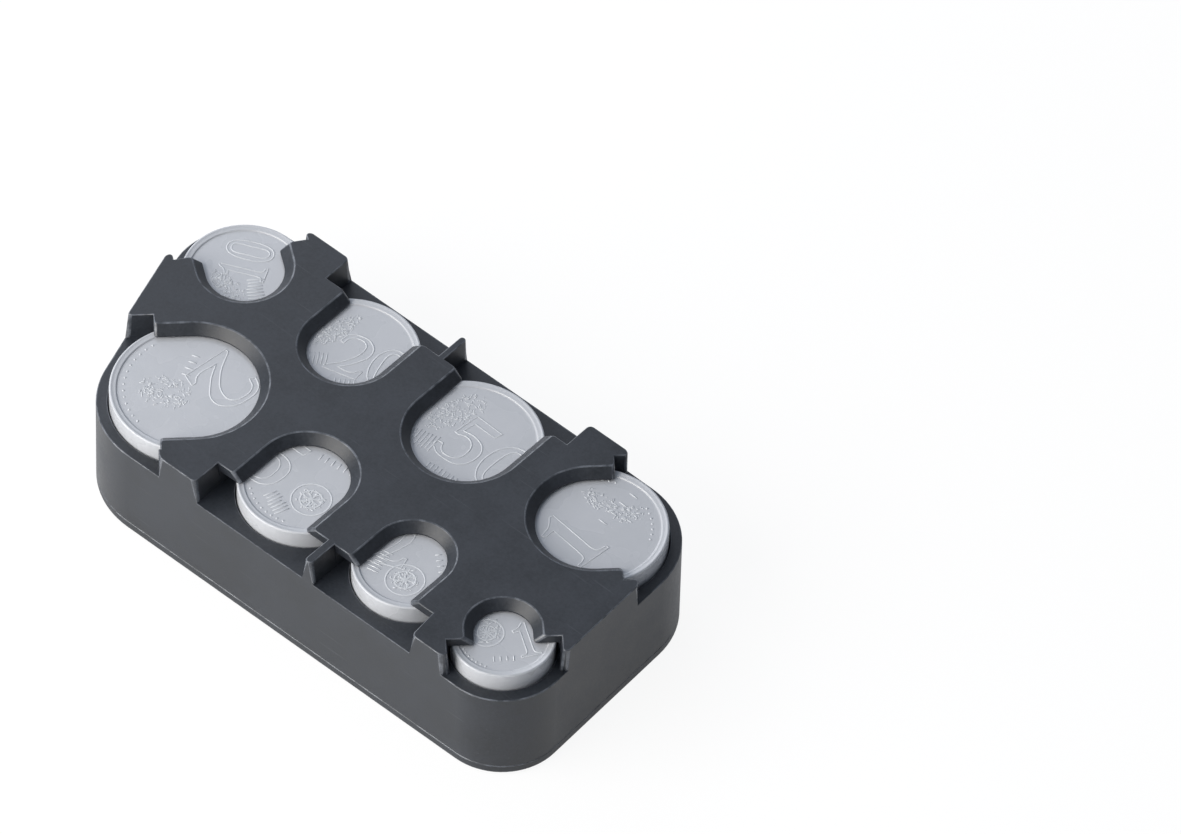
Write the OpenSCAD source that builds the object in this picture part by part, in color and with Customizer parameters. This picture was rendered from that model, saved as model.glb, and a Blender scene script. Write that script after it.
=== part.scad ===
// Pocket coin sorter with eight sprung wells.
// Origin: on the surface it stands on, at the middle of its outline. +X runs along the
// long side, +Y across, +Z up. Millimetres.

/* [Coins] */
// Diameter of the 2 euro coin
coin_2_euro_d = 25.75; // [24:0.25:27]
// Diameter of the 1 euro coin
coin_1_euro_d = 23.25; // [22:0.25:25]
// Diameter of the 50 cent coin
coin_50_cent_d = 24.25; // [23:0.25:26]
// Diameter of the 20 cent coin
coin_20_cent_d = 22.25; // [21:0.25:24]
// Diameter of the 10 cent coin
coin_10_cent_d = 19.75; // [18:0.25:21]
// Diameter of the 5 cent coin
coin_5_cent_d = 21.25; // [20:0.25:23]
// Diameter of the 2 cent coin
coin_2_cent_d = 18.75; // [17:0.25:20]
// Diameter of the 1 cent coin
coin_1_cent_d = 16.25; // [15:0.25:18]

/* [Well layout] */
// Thickness of the wall between the two rows of wells, where it is thinnest
row_wall_t = 0.465; // [0.4:0.005:4]
// From the outer wall to the coin edge, at the large coins
side_margin = 1.95; // [1.4:0.05:2.1]
// From the outer wall to the coin edge, at the 5 cent and 1 cent coins
small_coin_margin = 2.25; // [1.4:0.05:3]
// From the outer wall to the coin edge, at the 2 cent coin
two_cent_margin = 2.55; // [1.4:0.05:3.5]
// Spacing along X between the edges of the 2 euro and 5 cent coins
web_2_euro_5_cent = 1.6; // [1.5:0.05:4]
// Spacing along X between the edges of the 5 cent and 2 cent coins
web_5_cent_2_cent = 2.55; // [1.5:0.05:4]
// Spacing along X between the edges of the 2 cent and 1 cent coins
web_2_cent_1_cent = 2.15; // [1.5:0.05:4]
// Spacing along X between the edges of the 10 cent and 20 cent coins
web_10_cent_20_cent = 1.65; // [1.5:0.05:4]
// Spacing along X between the edges of the 20 cent and 50 cent coins
web_20_cent_50_cent = 1.55; // [1.5:0.05:4]
// Spacing along X between the edges of the 50 cent and 1 euro coins
web_50_cent_1_euro = 1.65; // [1.5:0.05:4]
// How far the 10 cent well lies behind the 2 euro well along X
row_shift = 9.85; // [6:0.05:14]
// Direction in which the 2 euro coin slides out
exit_angle_2_euro = 225; // [215:1:235]
// Direction in which the 1 euro coin slides out
exit_angle_1_euro = 45; // [35:1:55]
// Direction in which the 10 cent coin slides out
exit_angle_10_cent = 144; // [135:1:150]
// Direction in which the 1 cent coin slides out
exit_angle_1_cent = 315; // [305:1:325]

/* [Housing] */
// Height of the deck above the base cover
deck_h = 15.55; // [12:0.05:24]
// Height of the slot between the deck and the lips, for one coin
exit_gap = 3.15; // [2.6:0.05:4]
// Thickness of the retaining plate that forms the lips
plate_t = 1.6; // [1.2:0.1:3]
// Thickness of the outer wall
wall_t = 1.6; // [1.2:0.1:2.4]
// Thickness of the tube wall round each well, where there is room
tube_wall_t = 1.2; // [0.8:0.1:1.6]
// Thickness of the deck above the hollow between the tubes
deck_t = 1.6; // [1:0.1:3]
// How far the plate's straight edges stand back from the outer wall
plate_setback = 5.3; // [4:0.1:7]
// How much wider each side of a slot's mouth gets up to the plate's top
mouth_draft = 0.45; // [0.1:0.05:0.6]
// The same at the thin rib between the 20 cent and 50 cent mouths
rear_rib_draft = 0.1; // [0.05:0.05:0.3]
// How far the mouth beside the 1 cent well's block turns outwards, in degrees
mouth_flare = 5; // [0:1:16]
// From the 2 euro well's centre to the front edge of its lips
lip_reach_2_euro = 5.5; // [3:0.1:8]
// From the 1 euro well's centre to the front edge of its lips
lip_reach_1_euro = 3.9; // [2:0.1:6]
// From the 10 cent well's centre to the front edge of its lips
lip_reach_10_cent = 3.3; // [1:0.1:5]
// From the 1 cent well's centre to the front edge of its lips
lip_reach_1_cent = 1.9; // [1:0.1:4]
// From the 2 euro well's centre to the end of the block beside it
block_reach_2_euro = 5.8; // [3:0.1:8]
// From the 1 euro well's centre to the ends of the blocks beside it
block_reach_1_euro = 6.0; // [4:0.1:8]
// From the 10 cent well's centre to the ends of the blocks beside it
block_reach_10_cent = 4.5; // [3:0.1:7]
// From the 1 cent well's centre to the ends of the blocks beside it
block_reach_1_cent = 4.9; // [3:0.1:7]

/* [Thumb openings] */
// Width of the opening over the 2 euro coin
thumb_2_euro_w = 20.4; // [14:0.2:22]
// Width of the opening over the 1 euro coin
thumb_1_euro_w = 17.6; // [13:0.2:20]
// Width of the opening over the 50 cent coin
thumb_50_cent_w = 16.8; // [13:0.2:20]
// Width of the opening over the 20 cent coin
thumb_20_cent_w = 13; // [11:0.2:18]
// Width of the opening over the 10 cent coin
thumb_10_cent_w = 12.2; // [9:0.2:16]
// Width of the opening over the 5 cent coin
thumb_5_cent_w = 13.4; // [10:0.2:17]
// Width of the opening over the 2 cent coin
thumb_2_cent_w = 10.4; // [9:0.2:15]
// Width of the opening over the 1 cent coin
thumb_1_cent_w = 9; // [7:0.2:13]
// Width of the slope round each opening
thumb_chamfer_w = 1.5; // [0.6:0.1:2.2]
// Height of the upright edge below the slope
thumb_land_h = 0.25; // [0.1:0.05:0.6]

/* [Pushers] */
// Height of a pusher from the foot of its skirt to the top of its rim
pusher_h = 5.5; // [4:0.1:8]
// Thickness of the pusher's skirt
skirt_t = 0.9; // [0.7:0.1:1.6]
// Thickness of the pusher's disc
disc_t = 1.2; // [0.8:0.1:2]
// Width of the raised rim round the disc
rim_w = 1.1; // [0.6:0.1:2]
// Height of the raised rim above the disc
rim_h = 0.3; // [0.1:0.05:0.6]
// Radius of the rim's outer edge
rim_round = 0.35; // [0.1:0.05:0.5]

/* [Springs] */
// Outer diameter of a spring
spring_d = 9; // [8:0.1:10]
// Diameter of the spring wire
wire_d = 0.6; // [0.4:0.05:0.8]
// Number of open turns
open_turns = 4.5; // [3:0.5:6]

/* [Base cover] */
// Thickness of the base cover
cover_t = 1.6; // [1.4:0.1:3]
// Height of the rings that centre the cover in the wells
locating_ring_h = 0.8; // [0.5:0.1:2]
// Thickness of the locating rings and spring rings
ring_t = 0.9; // [0.6:0.1:1.5]
// Height of the rings inside the ends of the springs
spring_ring_h = 1.2; // [0.6:0.1:2]
// Diameter of the base pads
pad_d = 9; // [6:0.5:12]
// Thickness of the base pads
pad_t = 1; // [0.8:0.1:1.5]
// How far the base pads stand out below the cover
pad_proud = 0.4; // [0.2:0.1:0.6]

/* [Screws] */
// Diameter of a screw's shank
screw_d = 1.9; // [1.5:0.1:2.2]
// Length of a screw
screw_l = 7; // [5:0.5:10]
// Diameter of a screw's countersunk head
screw_head_d = 3.6; // [3:0.1:4.2]
// Height of a screw's countersunk head
screw_head_h = 1; // [0.8:0.1:1.2]
// Diameter of the bosses that the screws bite into
boss_d = 4.6; // [3.6:0.1:5]

/* [Fits] */
// Gap all round between a coin and its well
coin_clearance = 0.15; // [0.1:0.01:0.4]
// Gap all round between a pusher and its well
pusher_clearance = 0.2; // [0.1:0.01:0.4]
// Gap between a raised pusher and the lips
stop_clearance = 0.1; // [0.05:0.05:0.3]
// Gap between a locating ring and its well
ring_clearance = 0.15; // [0.05:0.01:0.3]
// Gap between a spring and what it bears on
spring_clearance = 0.05; // [0.02:0.01:0.1]
// Gap all round between a screw's shank and its boss
screw_clearance = 0.05; // [0.02:0.01:0.1]
// Gap all round between a screw and the cover
cover_hole_clearance = 0.2; // [0.1:0.05:0.3]
// Gap all round between a base pad and its recess
pad_clearance = 0.15; // [0.05:0.05:0.3]

/* [Hidden] */
$fn = 96;

// The wells by number: the front row first, from -X to +X, then the rear row.
two_euro = 0;
five_cent = 1;
two_cent = 2;
one_cent = 3;
ten_cent = 4;
twenty_cent = 5;
fifty_cent = 6;
one_euro = 7;
front_row = [two_euro, five_cent, two_cent, one_cent];
rear_row = [ten_cent, twenty_cent, fifty_cent, one_euro];
wells = concat(front_row, rear_row);
corner_wells = [two_euro, one_cent, one_euro, ten_cent];

coin_r = [
    coin_2_euro_d, coin_5_cent_d, coin_2_cent_d, coin_1_cent_d,
    coin_10_cent_d, coin_20_cent_d, coin_50_cent_d, coin_1_euro_d
] / 2;
thumb_r = [
    thumb_2_euro_w, thumb_5_cent_w, thumb_2_cent_w, thumb_1_cent_w,
    thumb_10_cent_w, thumb_20_cent_w, thumb_50_cent_w, thumb_1_euro_w
] / 2;
margin = [
    side_margin, small_coin_margin, two_cent_margin, small_coin_margin,
    side_margin, side_margin, side_margin, side_margin
];
well_r = [for (r = coin_r) r + coin_clearance];
pusher_r = [for (r = well_r) r - pusher_clearance];
corner_r = coin_r + margin;

// Places of the wells, with the outline's middle at X = 0 and Y = 0.
front_webs = [web_2_euro_5_cent, web_5_cent_2_cent, web_2_cent_1_cent];
rear_webs = [web_10_cent_20_cent, web_20_cent_50_cent, web_50_cent_1_euro];
function row_x(row, webs, i) =
    i == 0 ? 0 : row_x(row, webs, i - 1) + coin_r[row[i - 1]] + webs[i - 1] + coin_r[row[i]];
row_end = len(front_row) - 1;
raw_x = concat(
    [for (i = [0:row_end]) row_x(front_row, front_webs, i)],
    [for (i = [0:row_end]) row_x(rear_row, rear_webs, i) - row_shift]
);
outline_min_x = min([for (k = corner_wells) raw_x[k] - corner_r[k]]);
outline_max_x = max([for (k = corner_wells) raw_x[k] + corner_r[k]]);
middle_x = (outline_min_x + outline_max_x) / 2;

// The overall width at which wells a and b of different rows keep the wall between them.
function width_for(a, b) =
    let (reach = well_r[a] + well_r[b] + row_wall_t, dx = raw_x[a] - raw_x[b])
    corner_r[a] + corner_r[b] + sqrt(max(reach * reach - dx * dx, 0));
body_w = max([for (a = front_row, b = rear_row) width_for(a, b)]);
row_side = concat([for (k = front_row) -1], [for (k = rear_row) 1]);
well_x = [for (k = wells) raw_x[k] - middle_x];
well_y = [for (k = wells) row_side[k] * (body_w / 2 - corner_r[k])];
exit_angle = [
    exit_angle_2_euro, -90, -90, exit_angle_1_cent,
    exit_angle_10_cent, 90, 90, exit_angle_1_euro
];

// Heights above the surface that the sorter stands on.
cover_top_z = pad_proud + cover_t;
deck_z = cover_top_z + deck_h;
lip_z = deck_z + exit_gap;
plate_z = lip_z + plate_t;
pusher_top_z = lip_z - stop_clearance;
disc_under_z = pusher_top_z - rim_h - disc_t;
cavity_h = deck_h - deck_t;

// Distances along each exit from the well's centre.
function side_reach(k) = body_w / 2 - plate_setback - abs(well_y[k]);
lip_reach = [
    lip_reach_2_euro, side_reach(five_cent), side_reach(two_cent), lip_reach_1_cent,
    lip_reach_10_cent, side_reach(twenty_cent), side_reach(fifty_cent), lip_reach_1_euro
];
// A cut that leaves the part runs this far, and a cut's end passes a face by this much.
far = body_w / 2;
overshoot = 1;
// A ring's root runs this deep into what carries it.
ring_root = 0.3;

// The spring's path: closed turns at both ends, open turns between them.
closed_turns = 1;
closed_gap = 0.03;
wire_sides = 6;
ring_steps = 18;
coil_r = (spring_d - wire_d) / 2;
spring_low_z = cover_top_z + spring_clearance + wire_d / 2;
spring_high_z = disc_under_z - spring_clearance - wire_d / 2;
total_turns = open_turns + 2 * closed_turns;
closed_rise = closed_turns * (wire_d + closed_gap);
open_rise = spring_high_z - spring_low_z - 2 * closed_rise;
spring_ring_r = spring_d / 2 - wire_d - 2 * ring_clearance;

// The screws stand where three wells leave most room between them.
screw_spots = [
    [two_euro, ten_cent, twenty_cent],
    [five_cent, twenty_cent, fifty_cent],
    [two_cent, one_cent, one_euro]
];
cover_hole_r = screw_d / 2 + cover_hole_clearance;
boss_hole_r = screw_d / 2 + screw_clearance;
boss_hole_h = screw_l - cover_t + overshoot;
screw_slot_w = 0.5;
screw_slot_h = 0.4;

housing_color = "#3a3e44";
pusher_color = "#c6c8cb";
steel_color = "#9a9ca0";
rubber_color = "#1d1e20";

// --- Outline -----------------------------------------------------------------------------

// The angle at which the straight side from corner well a to corner well b faces.
function side_angle(a, b) =
    let (dx = well_x[b] - well_x[a], dy = well_y[b] - well_y[a])
    atan2(dy, dx) - 90 + asin((corner_r[a] - corner_r[b]) / norm([dx, dy]));

// The point at angle t on the corner round well k, moved out by grow.
function corner_point(k, t, grow) =
    [well_x[k], well_y[k]] + (corner_r[k] + grow) * [cos(t), sin(t)];

// The plan of the sorter, moved out by grow: arcs round the corner wells, joined by straight sides.
module outline(grow = 0) {
    last = len(corner_wells) - 1;
    polygon([
        for (i = [0:last], end = [0, 1])
            let (
                a = corner_wells[i],
                b = corner_wells[i == last ? 0 : i + 1],
                t = side_angle(a, b)
            )
            corner_point(end == 0 ? a : b, t, grow)
    ]);
    for (k = corner_wells)
        translate([well_x[k], well_y[k]])
            circle(r = corner_r[k] + grow);
}

// Children in the frame of well k: origin on its axis, +X along the coin's way out.
module at_well(k) {
    translate([well_x[k], well_y[k], 0])
        rotate([0, 0, exit_angle[k]])
            children();
}

// A bar along +X from the origin, with the cross-section given by its right half.
module bar(half_section, length) {
    mirrored = [for (i = [len(half_section) - 1:-1:0]) [-half_section[i].x, half_section[i].y]];
    rotate([90, 0, 90])
        linear_extrude(length)
            polygon(concat(half_section, mirrored));
}

// --- Housing -----------------------------------------------------------------------------

// The slot under the lips of well k and its mouth in front of them.
module exit_cut(k) {
    at_well(k) {
        translate([0, -well_r[k], deck_z])
            cube([far, 2 * well_r[k], exit_gap]);
        translate([lip_reach[k], 0, deck_z])
            mouth_bar(
                well_r[k],
                k == twenty_cent ? rear_rib_draft : mouth_draft,
                k == fifty_cent ? rear_rib_draft : mouth_draft
            );
    }
}

// The mouth in front of the lips, half_w wide on each side at the deck. Towards the plate's top
// it gets wider by one draft to the right of the way out and by the other to its left.
module mouth_bar(half_w, right_draft = mouth_draft, left_draft = mouth_draft) {
    height = plate_z - deck_z;
    rotate([90, 0, 90])
        linear_extrude(far)
            polygon([
                [-half_w, 0],
                [half_w, 0],
                [half_w + left_draft, height],
                [half_w + left_draft, height + overshoot],
                [-half_w - right_draft, height + overshoot],
                [-half_w - right_draft, height]
            ]);
}

// The side of well k's mouth to the left of the way out, turned outwards from the lip's corner.
module flare_cut(k) {
    half_w = side_reach(k) / 2;
    at_well(k)
        translate([lip_reach[k], well_r[k], deck_z])
            rotate([0, 0, mouth_flare])
                translate([0, -half_w, 0])
                    mouth_bar(half_w);
}

// The room past the end of a block beside corner well k. side is 1 to the left of the way out
// and -1 to its right.
module block_end_cut(k, reach, side) {
    at_well(k)
        translate([reach, side > 0 ? 0 : -far, deck_z])
            cube([far, far, plate_z - deck_z + overshoot]);
}

// The opening for the thumb over well k, with a slope down to the lips.
module thumb_cut(k) {
    section = [
        [thumb_r[k], -overshoot],
        [thumb_r[k], thumb_land_h],
        [thumb_r[k] + thumb_chamfer_w, plate_t],
        [thumb_r[k] + thumb_chamfer_w, plate_t + overshoot]
    ];
    at_well(k)
        translate([0, 0, lip_z]) {
            rotate_extrude()
                polygon(concat([[0, -overshoot]], section, [[0, plate_t + overshoot]]));
            bar(section, far);
        }
}

// The hollow between the tubes, open at the bottom.
module cavity() {
    translate([0, 0, cover_top_z - overshoot])
        linear_extrude(cavity_h + overshoot)
            difference() {
                outline(-wall_t);
                for (k = wells)
                    translate([well_x[k], well_y[k]])
                        circle(r = well_r[k] + tube_wall_t);
                for (spot = screw_spots)
                    translate(gap_centre(spot))
                        circle(d = boss_d);
            }
}

module housing() {
    color(housing_color)
        difference() {
            translate([0, 0, cover_top_z])
                linear_extrude(plate_z - cover_top_z)
                    outline();
            for (k = wells) {
                at_well(k)
                    translate([0, 0, cover_top_z - overshoot])
                        cylinder(r = well_r[k], h = lip_z - cover_top_z + overshoot);
                exit_cut(k);
                thumb_cut(k);
            }
            flare_cut(two_cent);
            block_end_cut(two_euro, block_reach_2_euro, 1);
            for (side = [-1, 1]) {
                block_end_cut(one_euro, block_reach_1_euro, side);
                block_end_cut(ten_cent, block_reach_10_cent, side);
                block_end_cut(one_cent, block_reach_1_cent, side);
            }
            cavity();
            for (spot = screw_spots)
                translate(concat(gap_centre(spot), cover_top_z - overshoot))
                    cylinder(r = boss_hole_r, h = boss_hole_h + overshoot);
        }
}

// --- Base cover, its screws and pads -------------------------------------------------------

// The centre of the circle that touches the three wells of spot from outside. With its radius
// g, |c - c_i| = r_i + g for each well i. Two differences of these are linear in c and g.
function gap_centre(spot) =
    let (
        p = [for (k = spot) [well_x[k], well_y[k]]],
        r = [for (k = spot) well_r[k]],
        q = [for (i = [0:2]) p[i] * p[i] - r[i] * r[i]],
        u = p[1] - p[0],
        v = p[2] - p[0],
        det = u.x * v.y - u.y * v.x,
        // c = base + slope * g
        base = [
            (q[1] - q[0]) * v.y - (q[2] - q[0]) * u.y,
            (q[2] - q[0]) * u.x - (q[1] - q[0]) * v.x
        ] / (2 * det),
        slope = -[
            (r[1] - r[0]) * v.y - (r[2] - r[0]) * u.y,
            (r[2] - r[0]) * u.x - (r[1] - r[0]) * v.x
        ] / det,
        // |base + slope * g - p0| = r0 + g
        d = base - p[0],
        a = slope * slope - 1,
        b = 2 * (d * slope - r[0]),
        c = d * d - r[0] * r[0],
        root = sqrt(b * b - 4 * a * c),
        g = max((-b - root) / (2 * a), (-b + root) / (2 * a))
    )
    base + slope * g;

// A ring that stands on the XY plane, with its root in what carries it.
module ring(outer_r, height) {
    translate([0, 0, -ring_root])
        difference() {
            cylinder(r = outer_r, h = height + ring_root);
            translate([0, 0, -overshoot])
                cylinder(r = outer_r - ring_t, h = height + ring_root + 2 * overshoot);
        }
}

// The cone and shank of a countersunk screw, head down, grown all round by gap.
module screw_shape(gap = 0) {
    cylinder(r1 = screw_head_d / 2 + gap, r2 = screw_d / 2 + gap, h = screw_head_h);
    cylinder(r = screw_d / 2 + gap, h = screw_l);
}

module base_cover() {
    color(housing_color) {
        difference() {
            translate([0, 0, pad_proud])
                linear_extrude(cover_t)
                    outline();
            for (spot = screw_spots)
                translate(concat(gap_centre(spot), pad_proud))
                    screw_shape(cover_hole_clearance);
            for (k = corner_wells)
                at_well(k)
                    cylinder(r = pad_d / 2 + pad_clearance, h = pad_t);
        }
        for (k = wells)
            at_well(k)
                translate([0, 0, cover_top_z]) {
                    ring(well_r[k] - ring_clearance, locating_ring_h);
                    ring(spring_ring_r, spring_ring_h);
                }
    }
}

module cover_screws() {
    color(steel_color)
        for (spot = screw_spots)
            translate(concat(gap_centre(spot), pad_proud))
                difference() {
                    screw_shape();
                    for (turn = [0, 90])
                        rotate([0, 0, turn])
                            cube([screw_d, screw_slot_w, 2 * screw_slot_h], center = true);
                }
}

module base_pads() {
    color(rubber_color)
        for (k = corner_wells)
            at_well(k)
                cylinder(d = pad_d, h = pad_t);
}

// --- Pushers -----------------------------------------------------------------------------

// The raised pusher of well k: a disc with a raised rim, a skirt and a ring inside the spring.
module pusher(k) {
    r = pusher_r[k];
    round_steps = 6;
    color(pusher_color)
        at_well(k)
            translate([0, 0, pusher_top_z - pusher_h]) {
                rotate_extrude()
                    polygon(concat(
                        [[r, 0]],
                        [
                            for (i = [0:round_steps])
                                let (t = 90 * i / round_steps)
                                [r - rim_round * (1 - cos(t)), pusher_h - rim_round * (1 - sin(t))]
                        ],
                        [
                            [r - rim_w + rim_h, pusher_h],
                            [r - rim_w, pusher_h - rim_h],
                            [0, pusher_h - rim_h],
                            [0, pusher_h - rim_h - disc_t],
                            [r - skirt_t, pusher_h - rim_h - disc_t],
                            [r - skirt_t, 0]
                        ]
                    ));
                translate([0, 0, pusher_h - rim_h - disc_t])
                    mirror([0, 0, 1])
                        ring(spring_ring_r, spring_ring_h);
            }
}

module pusher_2_euro() { pusher(two_euro); }
module pusher_5_cent() { pusher(five_cent); }
module pusher_2_cent() { pusher(two_cent); }
module pusher_1_cent() { pusher(one_cent); }
module pusher_10_cent() { pusher(ten_cent); }
module pusher_20_cent() { pusher(twenty_cent); }
module pusher_50_cent() { pusher(fifty_cent); }
module pusher_1_euro() { pusher(one_euro); }

// --- Springs -----------------------------------------------------------------------------

// Height of the wire's centre above its start, after t turns.
function spring_rise(t) =
    let (open_part = min(max(t - closed_turns, 0), open_turns) / open_turns)
    open_rise * open_part + closed_rise * (min(t, closed_turns)
        + max(t - closed_turns - open_turns, 0)) / closed_turns;

// One coil spring under the pusher of well k, swept as a ring of points round the wire.
module spring(k) {
    rings = total_turns * ring_steps;
    points = [
        for (i = [0:rings], j = [0:wire_sides - 1])
            let (
                turn = 360 * i / ring_steps,
                side = 360 * j / wire_sides,
                reach = coil_r + wire_d / 2 * cos(side)
            )
            [
                reach * cos(turn),
                reach * sin(turn),
                spring_low_z + spring_rise(i / ring_steps) + wire_d / 2 * sin(side)
            ]
    ];
    walls = [
        for (i = [0:rings - 1], j = [0:wire_sides - 1])
            let (
                next = (j + 1) % wire_sides,
                low = i * wire_sides,
                high = low + wire_sides
            )
            [low + j, high + j, high + next, low + next]
    ];
    ends = [
        [for (j = [0:wire_sides - 1]) j],
        [for (j = [wire_sides - 1:-1:0]) rings * wire_sides + j]
    ];
    color(steel_color)
        at_well(k)
            polyhedron(points, concat(walls, ends), convexity = 10);
}

module spring_2_euro() { spring(two_euro); }
module spring_5_cent() { spring(five_cent); }
module spring_2_cent() { spring(two_cent); }
module spring_1_cent() { spring(one_cent); }
module spring_10_cent() { spring(ten_cent); }
module spring_20_cent() { spring(twenty_cent); }
module spring_50_cent() { spring(fifty_cent); }
module spring_1_euro() { spring(one_euro); }

housing();
base_cover();
pusher_2_euro();
pusher_5_cent();
pusher_2_cent();
pusher_1_cent();
pusher_10_cent();
pusher_20_cent();
pusher_50_cent();
pusher_1_euro();
spring_2_euro();
spring_5_cent();
spring_2_cent();
spring_1_cent();
spring_10_cent();
spring_20_cent();
spring_50_cent();
spring_1_euro();
cover_screws();
base_pads();
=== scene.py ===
"""Visual model of a pocket coin sorter: a black moulded housing with eight sprung grey pushers.

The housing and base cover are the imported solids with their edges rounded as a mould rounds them.
The pushers, their raised numerals, the springs, screws and pads are built here, in place of their
plainer solids. Lengths in the dataclasses are millimetres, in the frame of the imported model.
"""

import logging
import math
import random
from dataclasses import dataclass, field, replace
from enum import Enum
from typing import Any, Callable, Iterable

import bmesh
import bpy
from bmesh.types import BMEdge, BMesh, BMLayerItem, BMVert
from bpy.types import ID, Material, Mesh, Node, NodeSocket, Object, World
from mathutils import Matrix, Vector

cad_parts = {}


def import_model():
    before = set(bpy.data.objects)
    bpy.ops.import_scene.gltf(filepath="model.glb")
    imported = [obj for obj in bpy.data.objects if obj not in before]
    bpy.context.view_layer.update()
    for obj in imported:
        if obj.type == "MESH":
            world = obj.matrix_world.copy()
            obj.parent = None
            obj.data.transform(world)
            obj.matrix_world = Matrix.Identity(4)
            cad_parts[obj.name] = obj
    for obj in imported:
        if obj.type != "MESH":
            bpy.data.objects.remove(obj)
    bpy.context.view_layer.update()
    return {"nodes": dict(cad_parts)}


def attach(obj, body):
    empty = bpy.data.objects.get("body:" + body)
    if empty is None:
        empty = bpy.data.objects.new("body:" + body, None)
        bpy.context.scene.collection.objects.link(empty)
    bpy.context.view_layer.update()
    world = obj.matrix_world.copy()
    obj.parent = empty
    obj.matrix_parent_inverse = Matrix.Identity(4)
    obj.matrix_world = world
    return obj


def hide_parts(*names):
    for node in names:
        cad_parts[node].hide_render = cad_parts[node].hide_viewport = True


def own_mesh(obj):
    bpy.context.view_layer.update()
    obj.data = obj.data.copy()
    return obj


LOG = logging.getLogger("coin_sorter")
MM = 0.001
SAME_LEVEL = 0.001 * MM
SAME_SPOT = 0.0005 * MM

Inputs = dict[str | int, Any]
Owner = Material | World


# --- Numbers and nodes shared by every finish ---


def linear_rgba(hex_code: str) -> tuple[float, float, float, float]:
    """Turns an sRGB hex colour into linear RGBA.

    Args:
        hex_code: Six hex digits with a leading '#'.

    Returns:
        Red, green, blue and an alpha of 1, in linear light.
    """
    values = [int(hex_code[i:i + 2], 16) / 255 for i in (1, 3, 5)]
    linear = [v / 12.92 if v <= 0.04045 else ((v + 0.055) / 1.055) ** 2.4 for v in values]
    return (linear[0], linear[1], linear[2], 1.0)


def per_metre(size_mm: float) -> float:
    """Gives the noise scale at which one grain is size_mm wide, in Object coordinates."""
    return 1 / (size_mm * MM)


def fill(node: Node, inputs: Inputs) -> None:
    """Sets or links a node's inputs.

    Args:
        node: The node.
        inputs: Values, or output sockets to link, by the input's name or number.
    """
    for key, value in inputs.items():
        if isinstance(value, NodeSocket):
            node.id_data.links.new(value, node.inputs[key])
        else:
            node.inputs[key].default_value = value


def add_node(owner: Owner, kind: str, inputs: Inputs | None = None, **settings: Any) -> Node:
    """Adds a shader node, sets its properties, and fills or links its inputs.

    Args:
        owner: The material or world whose tree gets the node.
        kind: The node's type, such as 'ShaderNodeTexNoise'.
        inputs: Values, or output sockets to link, by the input's name or number.
        settings: Properties of the node by name.

    Returns:
        The new node.
    """
    node = owner.node_tree.nodes.new(kind)
    for name, value in settings.items():
        setattr(node, name, value)
    fill(node, inputs or {})
    return node


def with_nodes(owner: Owner) -> Owner:
    """Gives a new material or world an empty node tree."""
    owner.use_nodes = True
    owner.node_tree.nodes.clear()
    return owner


class Finish(Enum):
    """The finishes of the sorter, by the record's material slot."""

    BLACK_PLASTIC = "black_plastic"
    GREY_PLASTIC = "grey_plastic"
    SPRING_STEEL = "spring_steel"
    SCREW_STEEL = "screw_steel"
    PAD_RUBBER = "pad_rubber"


def start_material(name: str) -> tuple[Material, Node, NodeSocket]:
    """Starts a node material.

    Args:
        name: The material's name.

    Returns:
        The material, its Principled node, already linked to the output, and Object coordinates.
    """
    material = with_nodes(bpy.data.materials.new(name))
    shader = add_node(material, "ShaderNodeBsdfPrincipled")
    add_node(material, "ShaderNodeOutputMaterial", {"Surface": shader.outputs["BSDF"]})
    return material, shader, add_node(material, "ShaderNodeTexCoord").outputs["Object"]


@dataclass(frozen=True)
class Cloud:
    """Soft patches in which a surface's colour and its shine drift together."""

    size_mm: float
    detail: float
    shade_low: str
    shade: str
    roughness_low: float
    roughness_high: float
    noise_low: float = 0.0
    noise_high: float = 1.0

    def add(self, material: Material, place: NodeSocket) -> tuple[NodeSocket, NodeSocket]:
        """Adds the patches' nodes.

        Args:
            material: The finish's material.
            place: Its Object coordinates.

        Returns:
            The colour and the roughness.
        """
        noise = add_node(material, "ShaderNodeTexNoise", {
            "Vector": place, "Scale": per_metre(self.size_mm), "Detail": self.detail,
        })
        colour = add_node(material, "ShaderNodeMix", {
            0: noise.outputs["Fac"], 6: linear_rgba(self.shade_low), 7: linear_rgba(self.shade),
        }, data_type="RGBA")
        roughness = add_node(material, "ShaderNodeMapRange", {
            "Value": noise.outputs["Fac"], "From Min": self.noise_low, "From Max": self.noise_high,
            "To Min": self.roughness_low, "To Max": self.roughness_high,
        })
        return colour.outputs[2], roughness.outputs["Result"]

    def metal(self, name: str) -> Material:
        """Makes a bare metal with these patches."""
        material, shader, place = start_material(name)
        colour, roughness = self.add(material, place)
        fill(shader, {"Base Color": colour, "Roughness": roughness, "Metallic": 1.0})
        return material


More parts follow.
